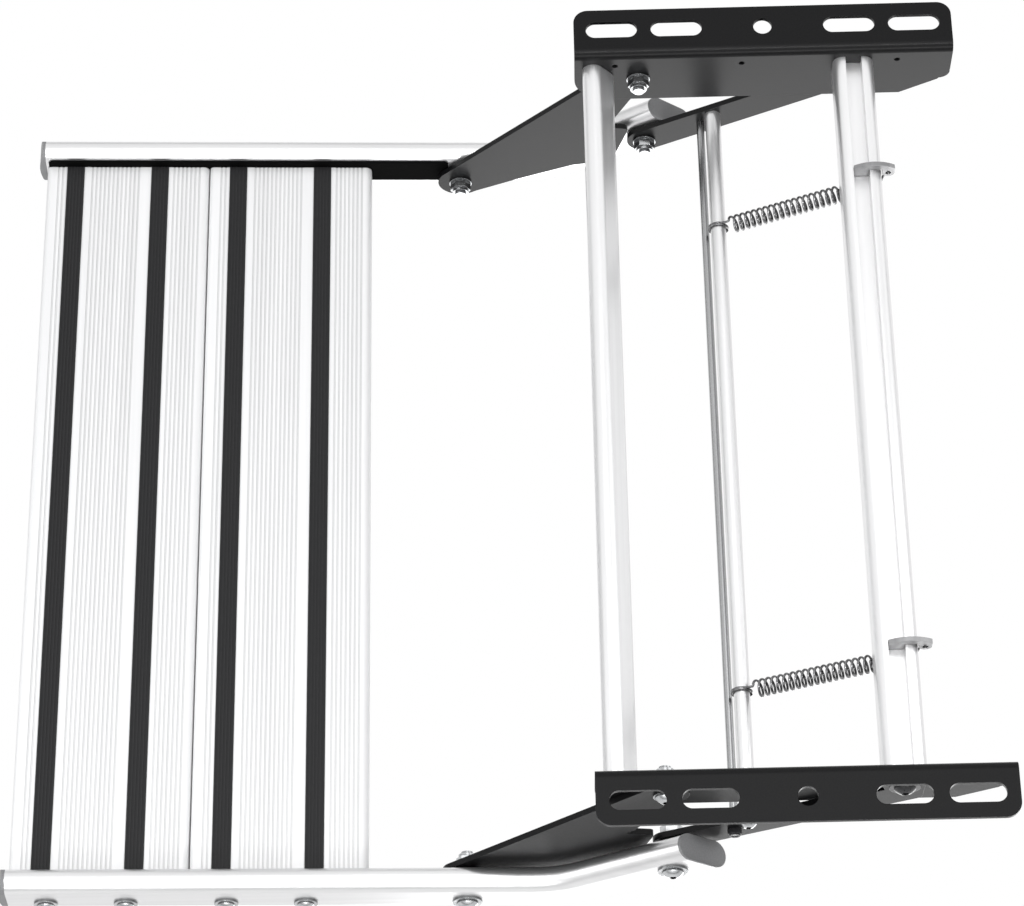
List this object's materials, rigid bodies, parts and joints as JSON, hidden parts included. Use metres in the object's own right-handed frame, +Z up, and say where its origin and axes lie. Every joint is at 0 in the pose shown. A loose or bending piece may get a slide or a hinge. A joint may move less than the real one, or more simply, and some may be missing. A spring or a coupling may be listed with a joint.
{
  "type": "caravan entry step",
  "caption": "Folding caravan entry step: two black side brackets, a linked swing frame with springs, and an aluminium tread with rubber grip strips.",
  "frame": {"origin": "middle of the two bracket flanges' top face, on the line between their round middle holes", "axes": "-X towards the step side of the vehicle, +X under the vehicle, +Y the left side, +Z up, normal to the mounting flanges"},
  "size_m": [0.6613, 0.609, 0.1853],
  "materials": {
    "black_coat": "satin black powder coat",
    "bare_alu": "clear anodised extrusion",
    "zinc": "bright zinc plating",
    "dark_nut": "dark oxide",
    "bronze": "plain bronze",
    "spring_steel": "drawn spring wire",
    "grey_plastic": "moulded grey",
    "tab_steel": "sheared plate, dull zinc",
    "dark_rubber": "ridged black rubber"
  },
  "bodies": {
    "mounting_frame": {"bracket_left": "black_coat", "bracket_right": "black_coat", "front_cross_tube": "bare_alu", "front_tube_screws": "zinc", "rear_cross_member": "bare_alu", "spring_tab_left": "tab_steel", "spring_tab_right": "tab_steel", "spring_left": "spring_steel", "spring_right": "spring_steel", "bracket_pivot_bolts": "zinc", "bracket_pivot_nuts": "zinc", "rear_pivot_bolts": "dark_nut"},
    "swing_frame": {"rear_link_left": "black_coat", "rear_link_right": "black_coat", "rear_link_bushes": "bronze", "swing_tube": "bare_alu", "swing_tube_screws": "zinc", "tie_rod": "zinc", "tie_rod_nuts": "dark_nut"},
    "front_link_left_body": {"front_link_left": "black_coat", "front_link_bush_left": "bronze", "front_link_nut_left": "zinc"},
    "front_link_right_body": {"front_link_right": "black_coat", "front_link_bush_right": "bronze", "front_link_nut_right": "zinc"},
    "step": {"arm_left": "bare_alu", "arm_right": "bare_alu", "front_end_caps": "grey_plastic", "rear_end_caps": "grey_plastic", "arm_inlays": "dark_rubber", "tread_front": "bare_alu", "tread_rear": "bare_alu", "grip_strips_front": "dark_rubber", "grip_strips_rear": "dark_rubber", "tread_bolts_left": "zinc", "tread_bolts_right": "zinc", "arm_front_bolts": "zinc", "arm_rear_bolts": "zinc", "arm_rear_nuts": "zinc", "arm_spacers": "zinc"}
  },
  "joints": [
    {"name": "swing_hinge", "type": "hinge", "parent": "mounting_frame", "child": "swing_frame", "pos_m": [0.063, 0, -0.023], "axis": [0, -1, 0], "range_deg": [0, 102], "deforming": ["spring_left", "spring_right"]},
    {"name": "step_hinge", "type": "hinge", "parent": "swing_frame", "child": "step", "pos_m": [-0.08192, 0, -0.11748], "axis": [0, -1, 0], "range_deg": [-113.01, 0]},
    {"name": "front_link_left_hinge", "type": "hinge", "parent": "mounting_frame", "child": "front_link_left_body", "pos_m": [-0.0875, 0.2718, -0.03], "axis": [0, -1, 0], "range_deg": [0, 86.14]},
    {"name": "front_link_right_hinge", "type": "hinge", "parent": "mounting_frame", "child": "front_link_right_body", "pos_m": [-0.0875, -0.2718, -0.03], "axis": [0, -1, 0], "range_deg": [0, 86.14]}
  ],
  "couplings": [
    {"joint": "step_hinge", "follows": "swing_hinge", "ratio": -1.1079},
    {"joint": "front_link_left_hinge", "follows": "swing_hinge", "ratio": 0.8445},
    {"joint": "front_link_right_hinge", "follows": "swing_hinge", "ratio": 0.8445}
  ]
}
